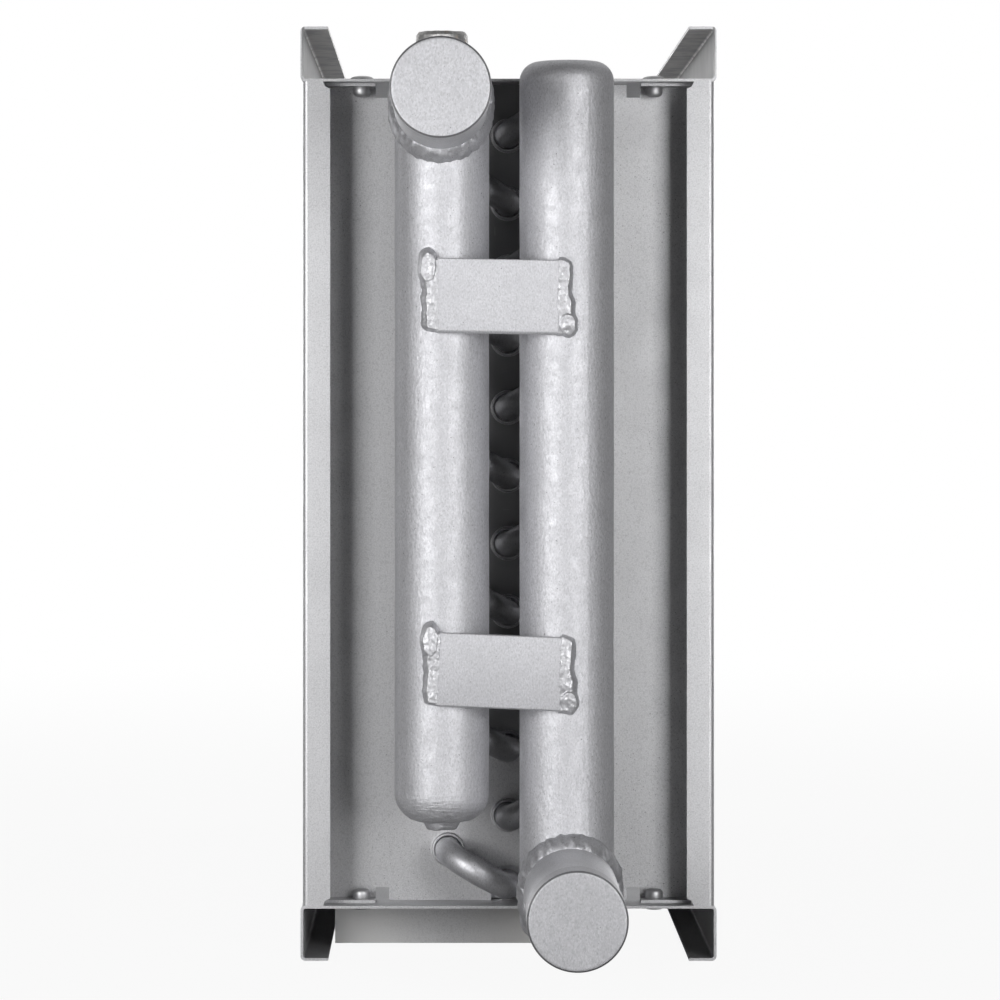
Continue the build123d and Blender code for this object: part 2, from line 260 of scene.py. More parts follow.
def plate_zinc():
    """Worn zinc for the end plates: dark dots except on the near flanges, painted shade on the near plate
    behind the gap between the headers, and pale and dark scratches."""
    look = galvanised("speckled_zinc")
    flat = look.along("Y", near_face - 4 * MM, near_face - 2 * MM)
    patches = look.times(look.ranged(look.grain(35 * MM), 0.45, 0.6), flat)
    look.tint(look.times(look.spots(0.75 * MM, 0.07), patches), (0.30, 0.30, 0.307))
    look.tint(look.times(look.spots(1.0 * MM, 0.02), flat), (0.36, 0.36, 0.37))
    # Painted shade: the near plate darkened where it shows in the gap between the headers, except low down
    gap_shade = look.times(look.along("X", -14 * MM, -4 * MM), look.along("X", 19 * MM, 9 * MM))
    gap_shade = look.times(gap_shade, look.along("Z", duct_floor + 45 * MM, duct_floor + 75 * MM))
    gap_shade = look.times(gap_shade, look.along("Y", near_face + 8 * MM, near_face + 4 * MM))
    look.tint(look.times(gap_shade, flat), (0.26, 0.26, 0.266))
    look.tint(look.spots(2.6 * MM, -0.01, (0.10, 0.10, 5)), (0.72, 0.72, 0.73))
    look.tint(look.spots(2.2 * MM, -0.01, (5, 0.10, 0.10), (0, 35, 0)), (0.42, 0.42, 0.43))
    return look


def panel_zinc():
    """Zinc for the panels, with painted shade on the inner faces of the upper flanges and painted light on
    the undersides of their lips.
    """
    look = galvanised("plain_zinc")
    near_end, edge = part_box("top_panel")
    above = look.along("Z", duct_roof + 1.5 * MM, duct_roof + 2.5 * MM)
    high_up = look.along("Z", edge.z - 16 * MM, edge.z - 2 * MM)
    # Painted shade: the inner faces of the upper flanges darkened, darkest near their top
    for side in (-1, 1):
        flange_shade = look.times(look.along("X", side * (edge.x - 0.4 * MM), side * (edge.x - 0.6 * MM)),
                         look.along("X", side * (edge.x - 1.5 * MM), side * (edge.x - 1.2 * MM)))
        flange_shade = look.times(flange_shade, above)
        look.tint(flange_shade, (0.40, 0.40, 0.405))
        look.tint(look.times(flange_shade, high_up), (0.23, 0.23, 0.233))
    # Painted light: the undersides of the upper flanges' lips brightened, in clouds
    lip_light = look.times(look.along("Z", edge.z - 0.4 * MM, edge.z - 0.6 * MM),
                       look.along("Z", edge.z - 1.8 * MM, edge.z - 1.4 * MM))
    lip_light = look.times(lip_light, look.along("Y", near_end.y + 0.5 * MM, near_end.y + 2 * MM))
    cloudy = look.ranged(look.grain(9 * MM, detail=3.0), 0.35, 0.6, 0.4, 1.0)
    look.tint(look.times(lip_light, cloudy), (0.92, 0.91, 0.89))
    return look


def angle_zinc():
    """Warmer zinc for the support angle, with painted light towards its left end and painted shade towards
    its right end.
    """
    look = galvanised("angle_zinc")
    # Painted light and shade: brighter towards the left end, darker towards the right
    look.tint(look.along("X", -14 * MM, -62 * MM), (0.78, 0.775, 0.77))
    look.tint(look.along("X", -30 * MM, 10 * MM), (0.50, 0.495, 0.49))
    return look


def fin_metal():
    """Thin aluminium, a little cloudy."""
    look = Look("fin_metal", (0.84, 0.85, 0.87), 0.6, 0.40)
    look.tint(look.ranged(look.grain(9 * MM), 0.4, 0.75, 0, 0.4), (0.74, 0.75, 0.77))
    look.relief(look.grain(1.5 * MM, (1, 1, 3)), 0.02 * MM)
    return look


def tube_metal():
    """Drawn copper, with silver paint on the ends at the header side."""
    look = Look("tube_metal", (0.72, 0.40, 0.26), 0.92, 0.30)
    look.tint(look.ranged(look.grain(12 * MM, detail=4.0), 0.4, 0.7, 0, 0.6), (0.50, 0.25, 0.16))
    look.tint(look.along("Y", near_face + 6 * MM, near_face + 1 * MM), (0.60, 0.60, 0.622))
    look.relief(look.grain(1.2 * MM, (1, 4, 1)), 0.02 * MM)
    return look


def turned_steel():
    """Bare steel with turning marks, streaks and a little brown."""
    look = Look("turned_steel", (0.50, 0.495, 0.49), 0.9, 0.50)
    look.tint(look.spots(3.5 * MM, 0.08, (1, 1, 1.5)), (0.44, 0.37, 0.30))
    look.tint(look.ranged(look.grain(2.5 * MM, (0.4, 0.4, 4)), 0.4, 0.7, 0, 0.7), (0.68, 0.67, 0.66))
    look.relief(look.grain(0.7 * MM, (4, 4, 0.5)), 0.03 * MM)
    look.relief(look.grain(1.6 * MM, (1, 1, 2.5)), 0.22 * MM)
    return look


def rivet_metal():
    """Dull, blotchy metal of the blind rivets."""
    look = Look("rivet_metal", (0.62, 0.62, 0.63), 0.9, 0.50)
    look.tint(look.ranged(look.grain(1.5 * MM), 0.45, 0.75, 0, 0.6), (0.52, 0.52, 0.54))
    look.relief(look.grain(1.0 * MM), 0.03 * MM)
    return look


# The header paint darkens behind this Y: painted shade for the gap between headers and plate
header_shade_start = left_header.y + 4 * MM
PAINT = silver_paint("silver_paint", back=header_shade_start)
HEADER_PAINT = header_paint("header_paint", left_foot)
# A darker copy of the feeder paint: painted shade for the return bends in the gap between the headers
SHADED_BEND_PAINT = silver_paint("shaded_bend_paint", (0.36, 0.36, 0.373), 0.05, 0.52)
FEEDER_PAINT = silver_paint("feeder_paint", (0.62, 0.62, 0.642), 0.05, 0.52)
STRAP_PAINT = silver_paint("strap_paint", (0.60, 0.60, 0.622), 0.04)
WELD_PAINT = silver_paint("weld_paint", (0.58, 0.58, 0.60), 0.08, 0.50)
STUB_WELD_PAINT = silver_paint("stub_weld_paint", (0.50, 0.50, 0.52), 0.08, 0.56)
UPPER_CAP_PAINT = cap_paint("upper_cap_paint", (0.575, 0.575, 0.596))
LOWER_CAP_PAINT = cap_paint("lower_cap_paint", (0.50, 0.50, 0.518))
PLATE_ZINC = plate_zinc()
SHEET_ZINC = panel_zinc()
ANGLE_ZINC = angle_zinc()
FINS = fin_metal()
TUBES = tube_metal()
STEEL = turned_steel()
RIVETS = rivet_metal()


# Mesh building

class Shell:
    """Collects the points and faces of one piece."""

    def __init__(self):
        self.points = []
        self.faces = []

    def add(self, points, faces):
        start = len(self.points)
        self.points += points
        self.faces += [[start + i for i in face] for face in faces]

    def piece(self, name, look, slot, *nodes, sharp=40):
        """Makes the object, shades it smooth up to the sharp angle, and rides it on the part. It takes its
        finish from the look and stands for the nodes, if any. The slot is not used."""
        mesh = bpy.data.meshes.new(name)
        mesh.from_pydata([tuple(p) for p in self.points], [], self.faces)
        mesh.validate()
        made = bpy.data.objects.new(name, mesh)
        bpy.context.scene.collection.objects.link(made)
        mesh.materials.append(look.material)
        mesh.shade_smooth()
        mesh.set_sharp_from_angle(angle=math.radians(sharp))
        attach(made, "root")
        if nodes:
            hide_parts(*nodes)


def round_corners(outline, steps):
    """Turns an open outline of (x, y, corner radius) into plain points, with arcs of so many steps at
    its corners."""
    made = []
    for i, (x, y, radius) in enumerate(outline):
        here = Vector((x, y))
        if radius == 0 or i in (0, len(outline) - 1):
            made.append(here)
            continue
        before = (Vector(outline[i - 1][:2]) - here).normalized()
        after = (Vector(outline[i + 1][:2]) - here).normalized()
        half = before.angle(after) / 2
        centre = here + (before + after).normalized() * (radius / math.sin(half))
        start = here + before * (radius / math.tan(half)) - centre
        end = here + after * (radius / math.tan(half)) - centre
        turn = start.angle_signed(end)
        for step in range(steps + 1):
            a = -turn * step / steps
            made.append(centre + Vector((start.x * math.cos(a) - start.y * math.sin(a),
                                         start.x * math.sin(a) + start.y * math.cos(a))))
    return made


def lathe(outline, centre, axis, sides):
    """Points and faces of a form turned round an axis. The outline holds (radius, distance along the
    axis), and a point on the axis closes the form."""
    across = axis.orthogonal().normalized()
    side = axis.cross(across).normalized()
    points, rings = [], []
    for radius, along in outline:
        if radius < 1e-9:
            rings.append([len(points)] * sides)
            points.append(centre + axis * along)
            continue
        rings.append(list(range(len(points), len(points) + sides)))
        for k in range(sides):
            a = 2 * math.pi * k / sides
            points.append(centre + axis * along + (across * math.cos(a) + side * math.sin(a)) * radius)
    faces = []
    for low, high in zip(rings, rings[1:]):
        for k in range(sides):
            n = (k + 1) % sides
            face = [low[k], low[n], high[n], high[k]]
            face = [v for i, v in enumerate(face) if v not in face[:i]]
            if len(face) > 2:
                faces.append(face)
    return points, faces


def sweep(path, radius, sides=24):
    """Points and faces of a round tube with flat ends along a path."""
    points, faces = [], []
    across = (path[1] - path[0]).orthogonal().normalized()
    for i, here in enumerate(path):
        ahead = path[min(i + 1, len(path) - 1)] - path[max(i - 1, 0)]
        ahead.normalize()
        across = (across - ahead * across.dot(ahead)).normalized()
        side = ahead.cross(across)
        for k in range(sides):
            a = 2 * math.pi * k / sides
            points.append(here + (across * math.cos(a) + side * math.sin(a)) * radius)
    for i in range(len(path) - 1):
        for k in range(sides):
            n = (k + 1) % sides
            low, high = i * sides, (i + 1) * sides
            faces.append([low + k, low + n, high + n, high + k])
    last = (len(path) - 1) * sides
    faces.append(list(reversed(range(sides))))
    faces.append(list(range(last, last + sides)))
    return points, faces


def roughened(points, amount, size, shift=0.0, where=None):
    """Moves points by smooth noise, everywhere or as far as the given function of the point says."""
    offset = Vector((shift, shift * 2, shift * 3))
    return [
        p + noise.noise_vector(p / size + offset) * amount * (where(p) if where else 1)
        for p in points
    ]


# Tubes

def bent_path(start, end, leg_y, bend_y, steps=14):
    """Centre line of two legs from leg_y to bend_y with a half turn between them."""
    first = Vector((start[0], bend_y, start[1]))
    last = Vector((end[0], bend_y, end[1]))
    centre = (first + last) / 2
    arm = first - centre
    outward = Vector((0, math.copysign(arm.length, bend_y - leg_y), 0))
    turn = [math.pi * step / steps for step in range(steps + 1)]
    path = [Vector((start[0], leg_y, start[1]))]
    path += [centre + arm * math.cos(a) + outward * math.sin(a) for a in turn]
    path.append(Vector((end[0], leg_y, end[1])))
    return path


def make_tube(path, node, look, slot):
    shell = Shell()
    shell.add(*sweep(path, tube_radius))
    shell.piece("tube_" + node, look, slot, node)


def make_tubes():
    """Six circuits, each of three hairpins, two return bends and a feeder from either header."""
    tube_end = near_face - tube_end_reach
    bend_start = tube_end - bend_leg
    far_bend = far_face + 0.6 * MM
    hairpin = bend = 1
    for circuit in range(tubes_per_row // 2):
        upper = 2 * circuit
        lower = upper + 1
        for row in (LEFT, MIDDLE, RIGHT):
            path = bent_path(tube_place(row, upper), tube_place(row, lower), tube_end, far_bend)
            make_tube(path, f"hairpin_{hairpin:02d}", TUBES, "tubes")
            hairpin += 1
        for row, number in ((LEFT, lower), (RIGHT, upper)):
            path = bent_path(tube_place(MIDDLE, number), tube_place(row, number), tube_end, bend_start)
            # Painted shade: all return bends but the lowest take the darker copy of the paint
            lowest = path[0].z < duct_floor + tube_pitch
            paint = FEEDER_PAINT if lowest else SHADED_BEND_PAINT
            make_tube(path, f"return_bend_{bend:02d}", paint, "silver_paint")
            bend += 1
        for side, row, number, header in (("left", LEFT, upper, left_header),
                                          ("right", RIGHT, lower, right_header)):
            x, z = tube_place(row, number)
            path = [Vector((x, y, z)) for y in (tube_end, header.y)]
            make_tube(path, f"{side}_feeder_{circuit + 1}", FEEDER_PAINT, "silver_paint")


def make_collars():
    """Drawn collars round the tube holes of both end plates, where they clear the panels."""
    outline = round_corners([
        (6.4 * MM, 0, 0), (6.0 * MM, 0.1 * MM, 0.3 * MM), (5.95 * MM, 1.9 * MM, 0.45 * MM),
        (4.95 * MM, 1.9 * MM, 0.4 * MM), (4.95 * MM, -0.5 * MM, 0)], 4)
    room = tube_pitch / 2 - sheet
    for name, face, axis in (("header_side_collars", near_face, FRONT),
                             ("far_side_collars", far_face, -FRONT)):
        shell = Shell()
        for row in (LEFT, MIDDLE, RIGHT):
            for number in range(tubes_per_row):
                x, z = tube_place(row, number)
                if min(z - duct_floor, duct_roof - z) > room:
                    shell.add(*lathe(outline, Vector((x, face, z)), axis, 32))
        shell.piece(name, SHEET_ZINC, "galvanised_sheet", sharp=60)


def fin_faces(columns, rows):
    """Faces of a thin fin: its two sides, in columns by rows, and the edges that join them."""

    def at(i, j, back):
        return (back * (columns + 1) + i) * (rows + 1) + j

    faces = []
    for i in range(columns):
        for j in range(rows):
            quad = [(i, j), (i + 1, j), (i + 1, j + 1), (i, j + 1)]
            faces.append([at(a, b, 0) for a, b in quad])
            faces.append([at(a, b, 1) for a, b in reversed(quad)])
    for j in range(rows):
        k = j + 1
        faces.append([at(0, j, 0), at(0, k, 0), at(0, k, 1), at(0, j, 1)])
        faces.append([at(columns, k, 0), at(columns, j, 0), at(columns, j, 1), at(columns, k, 1)])
    for i in range(columns):
        k = i + 1
        faces.append([at(k, 0, 0), at(i, 0, 0), at(i, 0, 1), at(k, 0, 1)])
        faces.append([at(i, rows, 0), at(k, rows, 0), at(k, rows, 1), at(i, rows, 1)])
    return faces


def make_fins():
    """Thin wavy fins, slightly uneven along their edges."""
    random.seed(7)
    wanted_pitch = 2.1 * MM
    thickness = 0.13 * MM
    wave = 0.35 * MM
    unevenness = 0.22 * MM
    columns, rows = 8, 6
    size = fin_high - fin_low
    count = round(size.y / wanted_pitch)
    faces = fin_faces(columns, rows)
    shell = Shell()
    for n in range(count):
        y = fin_low.y + (n + 0.5) * size.y / count
        front = []
        for i in range(columns + 1):
            for j in range(rows + 1):
                bend = wave * (-1) ** i
                if i in (0, columns):
                    bend += random.uniform(-1, 1) * unevenness
                x = fin_low.x + size.x * i / columns
                z = fin_low.z + size.z * j / rows
                front.append(Vector((x, y - thickness / 2 + bend, z)))
        back = [point - FRONT * thickness for point in front]
        shell.add(front + back, faces)
    shell.piece("fins", FINS, "fins", "fin_pack", sharp=30)


# Headers and connections

def pipe_rings(low, high, step):
    """Places between two ends, about a step apart, without the ends."""
    count = max(1, round((high - low) / step))
    return [low + (high - low) * i / count for i in range(1, count)]


def raised_seam(point, centre):
    """Lifts a point that lies on the pipe's own lengthwise seam, whose place and width are in degrees."""
    seam_place, seam_width, seam_height = 25.5, 2.2, 0.045 * MM
    arm = Vector((point.x - centre.x, point.y - centre.y, 0))
    if arm.length < pipe_radius / 2:
        return point
    off_seam = math.degrees(math.atan2(arm.x, -arm.y)) - seam_place
    return point + arm.normalized() * seam_height * math.exp(-(off_seam / seam_width) ** 2)


def make_header(node, foot, low_round, high_round, crown):
    """A closed pipe from its foot up, with rounded ends, a slightly crowned top, the faint unevenness of
    thick paint and a rough low end. The right one has a seam."""
    centre = middle_of(node)
    low = foot - centre.z
    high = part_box(node)[1].z - centre.z
    bottom = round_corners([(0, low, 0), (pipe_radius, low, low_round), (pipe_radius, 0, 0)], 10)[:-1]
    rings = pipe_rings(low + low_round, high - high_round - crown, 6 * MM)
    top = round_corners([(pipe_radius, 0, 0), (pipe_radius, high - crown, high_round), (0, high, 0)], 10)[1:]
    outline = bottom + [Vector((pipe_radius, z)) for z in rings] + top
    points, faces = lathe(outline, centre, UP, 180)

    def near_foot(point):
        return max(0.0, 1 - (point.z - foot) / (14 * MM))

    if node == "right_header":
        points = [raised_seam(p, centre) for p in points]
    points = roughened(points, 0.10 * MM, 16 * MM)
    points = roughened(points, 0.35 * MM, 2.6 * MM, 5.0, near_foot)
    shell = Shell()
    shell.add(points, faces)
    return shell


def make_headers():
    """Both headers, the left one with the small weld that closes its low end."""
    left = make_header("left_header", left_foot, 10 * MM, 6.5 * MM, 0.5 * MM)
    nub = round_corners([(0, -nub_height, 0), (5.2 * MM, -2.6 * MM, 2 * MM), (7.4 * MM, 1.2 * MM, 0)], 6)
    points, faces = lathe(nub, Vector((left_header.x, left_header.y, left_foot)), UP, 48)
    left.add(roughened(points, 0.9 * MM, 4.5 * MM, 2.0), faces)
    left.piece("left_header_pipe", HEADER_PAINT, "silver_paint", "left_header")
    right_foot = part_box("right_header")[0].z
    right = make_header("right_header", right_foot, 8 * MM, 7.0 * MM, 1.0 * MM)
    right.piece("right_header_pipe", PAINT, "silver_paint", "right_header")


def saddle_weld(stub, header, seed):
    """The weld round a connection pipe: a rippled fillet along the line where the two pipes meet. Each
    ripple is a pool of its own size, and the fillet sinks in where the pipes run side by side."""
    random.seed(seed)
    stations, sides = 300, 24
    ripple = 3.3 * MM
    half_height, half_width = 1.75, 4.0
    pools = [random.uniform(0.6, 1.3) for _ in range(60)]
    line, corners = [], []
    for i in range(stations):
        a = 2 * math.pi * i / stations
        out = Vector((math.cos(a), 0, math.sin(a)))
        place = stub + out * pipe_radius
        reach = max(-1.0, min(1.0, (place.x - header.x) / pipe_radius))
        skin = Vector((reach, -math.sqrt(1 - reach * reach), 0))
        line.append(Vector((place.x, header.y + pipe_radius * skin.y, place.z)))
        corners.append((out + skin).normalized())
    points, faces = [], []
    travelled = 0.0
    for i, here in enumerate(line):
        ahead = (line[(i + 1) % stations] - line[i - 1]).normalized()
        travelled += (here - line[i - 1]).length if i else 0
        corner = (corners[i] - ahead * corners[i].dot(ahead)).normalized()
        flank = ahead.cross(corner)
        open_side = abs(math.sin(2 * math.pi * i / stations)) ** 1.5
        middle = here + corner * (0.2 + 2.0 * open_side) * MM
        pool, into = divmod(travelled / ripple, 1.0)
        size = pools[int(pool) % len(pools)]
        for k in range(sides):
            b = 2 * math.pi * k / sides
            phase = (into + 0.3 * math.sin(b)) % 1.0
            swell = 0.24 * math.sqrt(max(0.0, 1 - (2 * phase - 1) ** 2)) * size
            high = (half_height + swell) * math.cos(b)
            wide = (half_width + 0.8 * swell) * math.sin(b)
            points.append(middle + (corner * high + flank * wide) * MM)
    for i in range(stations):
        n = (i + 1) % stations
        for k in range(sides):
            m = (k + 1) % sides
            faces.append([i * sides + k, i * sides + m, n * sides + m, n * sides + k])
    points = roughened(points, 0.50 * MM, 2.4 * MM, seed)
    return roughened(points, 0.24 * MM, 0.9 * MM, seed + 5), faces


def cap_outline(radius, reach):
    """The thin cap over a pipe's end: a face with a raised edge that rolls over into the skirt, from the
    middle of its face to its open end. The face's points are in millimetres, for a radius of 17.2."""
    face = ((0, 0), (8, 0), (15.8, 0), (16.5, -0.02), (16.62, -0.1), (16.7, -0.5), (17.05, -0.62),
            (17.18, -0.8), (17.2, -1.2))
    outline = [(x * radius / 17.2, reach + y * MM) for x, y in face]
    return outline + [(radius, 0.3 * MM), (radius - 0.15 * MM, 0), (pipe_radius - 0.1 * MM, 0)]


def make_connections():
    """The connection pipe, its weld to the header and its cap, for both headers."""
    for side, header, cap_look, seed in (("left", left_header, UPPER_CAP_PAINT, 3),
                                         ("right", right_header, LOWER_CAP_PAINT, 11)):
        low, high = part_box(f"{side}_cap")
        cap = (low + high) / 2
        pipe_length = header.y - low.y - 2 * MM
        pipe = [(0.0, 0.0)] + [(pipe_radius, d) for d in pipe_rings(0, pipe_length, 8 * MM)]
        pipe += [(pipe_radius, pipe_length), (0.0, pipe_length)]
        points, faces = lathe(pipe, Vector((cap.x, header.y, cap.z)), FRONT, 96)
        shell = Shell()
        shell.add(roughened(points, 0.08 * MM, 12 * MM), faces)
        shell.piece(f"{side}_connection", PAINT, "silver_paint", f"{side}_stub")
        shell = Shell()
        shell.add(*saddle_weld(Vector((cap.x, 0, cap.z)), header, seed))
        shell.piece(f"{side}_connection_weld", STUB_WELD_PAINT, "silver_paint", sharp=50)
        outline = cap_outline(half_size(f"{side}_cap").x, high.y - low.y)
        shell = Shell()
        shell.add(*lathe(outline, Vector((cap.x, high.y, cap.z)), FRONT, 128))
        shell.piece(f"{side}_transport_cap", cap_look, "caps", f"{side}_cap", sharp=35)


def make_vent():
    """The turned boss on top of the left header."""
    low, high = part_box("vent_boss")
    height = high.z - low.z
    radius = half_size("vent_boss").x
    outline = round_corners([
        (0, height, 0), (radius - 1.0 * MM, height, 0.3 * MM),
        (radius - 0.1 * MM, height - 1.3 * MM, 0.6 * MM), (radius + 0.3 * MM, -1.5 * MM, 0)], 4)
    points, faces = lathe(outline, Vector((left_header.x, left_header.y, low.z)), UP, 72)
    shell = Shell()
    shell.add(roughened(points, 0.12 * MM, 3 * MM), faces)
    shell.piece("vent_fitting", STEEL, "vent", "vent_boss")


# Straps

def blended(stations, place):
    """Values at a place, blended smoothly between stations of (place, values...) that run downwards."""
    for upper, lower in zip(stations, stations[1:]):
        if place >= lower[0]:
            break
    share = max(0.0, min(1.0, (upper[0] - place) / (upper[0] - lower[0])))
    share = share * share * (3 - 2 * share)
    return [a + (b - a) * share for a, b in zip(upper[1:], lower[1:])]


def domed(reach, flat):
    """Rises from 0 where reach is 1 to 1 where reach is below the flat share."""
    return math.sin(math.pi / 2 * max(0.0, min(1.0, (1 - reach) / (1 - flat))))


def lumpy_bead(corner, up, across, stations, lump, cover, seed):
    """A weld bead, made as heights over a patch of the pipe's crest. Everything is in millimetres from
    the middle of the strap's end face: places run up along it, and shifts run outwards. The stations hold
    (place, outer edge, height), the lump on it (place, half length, shift, half width, crown, height, fall),
    and the bead laps over the strap by the cover, given at its top and its bottom. The base of the bead is
    inside the pipe, and what lies round the bead is sunk out of sight. A lump with a fall has ripples."""
    cell = 0.22
    base, sunk = -2.5, -6.0
    inward = max(cover) + 0.6
    across_patch = max(cover) + 9.2
    place, length, shift, width, crown, height_there, fall = lump
    top, bottom = stations[0][0], stations[-1][0]
    high, low = max(top, place + length) + 1.0, min(bottom, place - length) - 1.0
    rows = round((high - low) / cell)
    columns = round(across_patch / cell)
    points, faces = [], []
    for i in range(rows + 1):
        v = high + (low - high) * i / rows
        lap = cover[0] + (cover[1] - cover[0]) * i / rows + 0.3 * noise.noise(Vector((v / 2.5, seed, 0)))
        for j in range(columns + 1):
            u = across_patch * j / columns - inward
            wander = noise.noise_vector(Vector((u / 3.0, v / 3.0, seed))) * 0.45
            wander += noise.noise_vector(Vector((u / 1.2, v / 1.2, seed + 4))) * 0.12
            x, y = u + wander.x, v + wander.y
            outer, height = blended(stations, y)
            past_end = max(0.0, 1 - min(top - y, y - bottom) / 3.4)
            reach = ((max(0.0, x) / outer) ** 2.4 + past_end ** 2.4) ** (1 / 2.4)
            depth = base + (height - base) * domed(reach, 0.56)
            reach = math.hypot((y - place) / length, (x - shift) / width)
            crest = height_there - crown * reach ** 2 + fall * (y - place)
            raised = base + (crest - base) * domed(reach, 0.6)
            blend = max(0.0, 1.0 - abs(depth - raised))
            depth = max(depth, raised) + blend * blend / 4
            depth += noise.noise(Vector((u / 2.4, v / 2.4, seed + 9))) * 0.30
            depth += noise.noise(Vector((u / 1.1, v / 1.1, seed + 13))) * 0.13
            depth += noise.noise(Vector((u / 0.5, v / 0.5, seed + 17))) * 0.04
            if fall and reach < 0.8:
                off = math.hypot(u - shift + 0.4, v - place + 2.0)
                depth += 0.07 * math.sin(off * 4.4) * (0.8 - reach) - 0.45 * math.exp(-(off / 0.6) ** 2)
            if depth < base + 0.6 or u < -lap:
                depth = sunk
            points.append(corner + across * u * MM + up * v * MM + FRONT * depth * MM)
    for i in range(rows):
        for j in range(columns):
            a, b = i * (columns + 1) + j, (i + 1) * (columns + 1) + j
            faces.append([a, a + 1, b + 1, b])
    return points, faces


def strap_bar(base, along, up, length, lip):
    """The flat bar, centred on its base on the pipe's crest: rings from inside the pipes out to the
    bevelled front face. Its lower side stands out by the lip."""
    width, thickness, bevel = 25.5 * MM, 3.5 * MM, 0.35 * MM
    corners = ((-1, -1), (1, -1), (1, 1), (-1, 1))
    points = []
    for inset, depth, foot in ((0, -0.3 * MM, lip), (0, thickness - 0.9 * MM, lip),
                               (0, thickness - bevel, lip * 0.5),
                               (bevel * 0.3, thickness - bevel * 0.3, lip * 0.2), (bevel, thickness, 0)):
        for a, b in corners:
            rise = b * (width / 2 - inset) - (foot if b < 0 else 0)
            points.append(base + along * a * (length / 2 - inset) + up * rise + FRONT * depth)
    last = len(points) - 4
    faces = [[3, 2, 1, 0], [last, last + 1, last + 2, last + 3]]
    for ring in range(0, last, 4):
        for k in range(4):
            n = (k + 1) % 4
            faces.append([ring + k, ring + n, ring + 4 + n, ring + 4 + k])
    return points, faces


def make_straps():
    """Both straps across the headers, each a little tilted, with a bead along either end."""
    left_run = [(13.6, 5.6, 3.7), (9.0, 6.2, 3.8), (5.0, 6.2, 3.8), (1.5, 5.6, 3.6), (-7.0, 5.3, 3.7),
                (-13.8, 5.3, 3.6)]
    left_lump = (9.7, 7.7, 3.0, 3.9, 0.3, 4.2, 0.0)
    right_run = [(14.2, 5.2, 3.7), (8.0, 5.6, 3.8), (2.5, 5.3, 3.9), (-4.0, 6.7, 3.7), (-8.0, 7.0, 3.1),
                 (-14.6, 7.0, 2.2)]
    right_lump = (-10.0, 5.6, 3.3, 4.1, 0.9, 3.5, 0.24)
    right_cover = (0.4, 0.7)
    length = 43.5 * MM
    crest = right_header.y - pipe_radius
    for name, tilt, aside, lip, left_cover, seed in (
            ("upper_strap", -1.0, -0.6 * MM, 0.9 * MM, (0.4, 1.3), 21),
            ("lower_strap", -2.4, 0, 0.5 * MM, (0.5, 0.4), 34)):
        centre = middle_of(name)
        base = Vector((centre.x + aside, crest, centre.z))
        turn = math.radians(tilt)
        along = Vector((math.cos(turn), 0, math.sin(turn)))
        up = Vector((-math.sin(turn), 0, math.cos(turn)))
        bar = Shell()
        bar.add(*strap_bar(base, along, up, length, lip))
        bar.piece(name + "_bar", STRAP_PAINT, "silver_paint", name, sharp=20)
        beads = Shell()
        for sign, run, lump, cover in ((-1, left_run, left_lump, left_cover),
                                       (1, right_run, right_lump, right_cover)):
            end = base + along * sign * length / 2
            beads.add(*lumpy_bead(end, up, along * sign, run, lump, cover, seed + sign))
        beads.piece(name + "_beads", WELD_PAINT, "silver_paint", sharp=70)


def make_rivets():
    """Blind rivets: a low dome outside, a shank, and a swollen tail inside."""
    head = 4.7
    outline = [(radius * MM, height * MM) for radius, height in (
        (0, 2.0), (1.5, 1.94), (2.8, 1.75), (3.8, 1.4), (4.4, 0.9), (head, 0.3), (head, 0), (2.4, 0),
        (2.4, -2.0), (2.9, -2.0), (3.15, -2.5), (3.2, -3.6), (3.15, -4.5), (2.7, -5.3), (1.8, -5.75),
        (0, -5.9))]
    for node in ("header_side_rivets", "far_side_rivets"):
        y = middle_of(node).y
        x = half_size(node).x - head * MM
        shell = Shell()
        for z, out in ((duct_floor - sheet, -UP), (duct_roof + sheet, UP)):
            for side in (-1, 1):
                shell.add(*lathe(outline, Vector((side * x, y, z)), out, 32))
        shell.piece(node.replace("rivets", "blind_rivets"), RIVETS, "rivets", node)


# Stage, light and camera

def add_softbox(name, place, aim, width, height, power, spread=180):
    """A softbox at a place, turned towards its aim. A small spread, in degrees, makes it a beam."""
    lamp = bpy.data.lights.new(name, "AREA")
    lamp.shape = "RECTANGLE"
    lamp.size = width
    lamp.size_y = height
    lamp.energy = power
    lamp.spread = math.radians(spread)
    made = bpy.data.objects.new(name, lamp)
    bpy.context.scene.collection.objects.link(made)
    made.location = place
    made.rotation_euler = (aim - place).to_track_quat("-Z", "Y").to_euler()
    made.visible_camera = False


def make_lights():
    """Softboxes around the coil, their azimuths in degrees from straight ahead of its pipe side, and
    narrow beams for the casing's hidden sides and top, which pass the headers by."""
    target = Vector((0, near_face, duct_middle))
    for name, azimuth, distance, width, height, power in (
            ("left_softbox", -34, 1.0, 0.36, 0.45, 5.2),
            ("right_softbox", 26.5, 1.0, 0.32, 0.6, 4.8),
            ("left_fill", -139, 1.8, 0.4, 0.9, 8.0),
            ("right_fill", 139, 1.8, 0.4, 0.9, 8.0)):
        turn = math.radians(azimuth)
        place = target + Vector((math.sin(turn), -math.cos(turn), 0)) * distance + UP * 0.1
        add_softbox(name, place, target, width, height, power)
    for name, side in (("left_beam", -1), ("right_beam", 1)):
        place = Vector((side * 1.1, 0.13, 0.24))
        add_softbox(name, place, Vector((0, 0.12, 0.17)), 0.5, 0.4, 0.22, 14)
    add_softbox("top_beam", Vector((0, -0.75, 1.15)), Vector((0, 0.22, 0.34)), 0.4, 0.25, 0.09, 20)


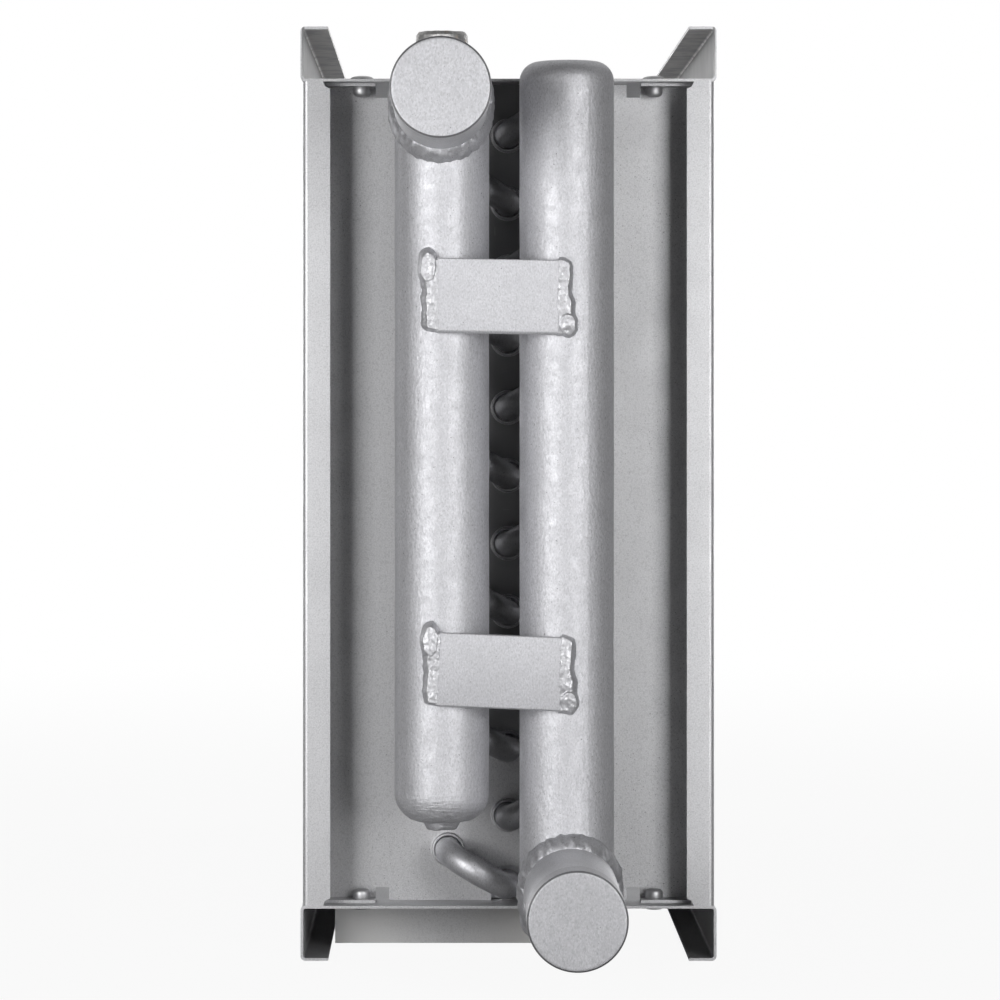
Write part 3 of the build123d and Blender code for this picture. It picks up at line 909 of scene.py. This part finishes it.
def mirrored_or_seen(nodes, links, mirrored):
    """Value that is 1 for what the camera sees, and the given value for what metal mirrors."""
    rays = nodes.new("ShaderNodeLightPath").outputs
    share = combine(nodes, links, "MULTIPLY", rays["Is Glossy Ray"], mirrored)
    return combine(nodes, links, "MAXIMUM", rays["Is Camera Ray"], share)


def blend_shaders(nodes, links, share, base, top, surface):
    """Shows the top shader over the base by the given share."""
    mix = nodes.new("ShaderNodeMixShader")
    links.new(share, mix.inputs["Fac"])
    links.new(base.outputs[0], mix.inputs[1])
    links.new(top.outputs[0], mix.inputs[2])
    links.new(mix.outputs[0], surface)


def make_world():
    """White where it is seen, or mirrored straight behind the coil. Its light is a glow from behind and
    from above the back, with a dim room in front."""
    world = bpy.data.worlds.new("studio")
    bpy.context.scene.world = world
    world.use_nodes = True
    nodes, links = world.node_tree.nodes, world.node_tree.links
    nodes.clear()
    output = nodes.new("ShaderNodeOutputWorld")
    light = nodes.new("ShaderNodeBackground")
    seen = nodes.new("ShaderNodeBackground")
    for background in (light, seen):
        background.inputs["Color"].default_value = (1, 1, 1, 1)
    seen.inputs["Strength"].default_value = 1.0
    place = nodes.new("ShaderNodeTexCoord")
    split = nodes.new("ShaderNodeSeparateXYZ")
    links.new(place.outputs["Generated"], split.inputs[0])

    def towards(axis, start, end, low, high):
        return map_range(nodes, links, split.outputs[axis], start, end, low, high)

    upper_back = combine(nodes, links, "MULTIPLY", towards("Z", 0.35, 0.8, 0.0, 0.5),
                         towards("Y", -0.05, 0.3, 0.0, 1.0))
    glow = combine(nodes, links, "ADD", towards("Y", 0.0, 0.6, 0.003, 0.3), upper_back)
    links.new(glow, light.inputs["Strength"])
    white = mirrored_or_seen(nodes, links, towards("Y", 0.7, 0.95, 0.0, 1.0))
    blend_shaders(nodes, links, white, light, seen, output.inputs["Surface"])


def make_floor():
    """A pale floor, white where it is seen, which keeps a faint shadow near the coil and runs out into
    the white background."""
    reach = 4.0
    corners = [(-reach, -reach, 0), (reach, -reach, 0), (reach, reach, 0), (-reach, reach, 0)]
    mesh = bpy.data.meshes.new("floor")
    mesh.from_pydata(corners, [], [[0, 1, 2, 3]])
    floor = bpy.data.objects.new("floor", mesh)
    bpy.context.scene.collection.objects.link(floor)
    material = bpy.data.materials.new("floor_white")
    material.use_nodes = True
    nodes, links = material.node_tree.nodes, material.node_tree.links
    shader = nodes["Principled BSDF"]
    shader.inputs["Base Color"].default_value = (0.45, 0.45, 0.45, 1)
    shader.inputs["Roughness"].default_value = 0.9
    glow = nodes.new("ShaderNodeEmission")
    glow.inputs["Color"].default_value = (1, 1, 1, 1)
    glow.inputs["Strength"].default_value = 1.0
    place = nodes.new("ShaderNodeTexCoord")
    away = nodes.new("ShaderNodeVectorMath")
    away.operation = "LENGTH"
    links.new(place.outputs["Object"], away.inputs[0])
    fade = map_range(nodes, links, away.outputs["Value"], 0.35, 1.6, 0.93, 1.0)
    white = combine(nodes, links, "MULTIPLY", mirrored_or_seen(nodes, links, 0.03), fade)
    blend_shaders(nodes, links, white, shader, glow, nodes["Material Output"].inputs["Surface"])
    mesh.materials.append(material)


def make_camera():
    """Straight at the pipe side. The small shift frames the coil as the photo does."""
    data = bpy.data.cameras.new("camera")
    camera = bpy.data.objects.new("camera", data)
    bpy.context.scene.collection.objects.link(camera)
    camera.location = (-0.0213, -1.808, 0.2088)
    camera.rotation_euler = (math.pi / 2, 0, 0)
    data.sensor_width = 36
    data.lens = 158.3
    data.shift_x = 0.05
    data.shift_y = -0.113
    bpy.context.scene.camera = camera


def dress_frame():
    """Gives the casing's own solids their finish."""
    for node, look in (("top_panel", SHEET_ZINC), ("bottom_panel", SHEET_ZINC),
                       ("support_angle", ANGLE_ZINC), ("header_side_plate", PLATE_ZINC),
                       ("far_side_plate", PLATE_ZINC)):
        for material_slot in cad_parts[node].material_slots:
            material_slot.material = look.material


make_camera()
dress_frame()
make_tubes()
make_collars()
make_fins()
make_headers()
make_connections()
make_vent()
make_straps()
make_rivets()
make_floor()
make_world()
make_lights()
bpy.context.scene.view_settings.view_transform = "Standard"
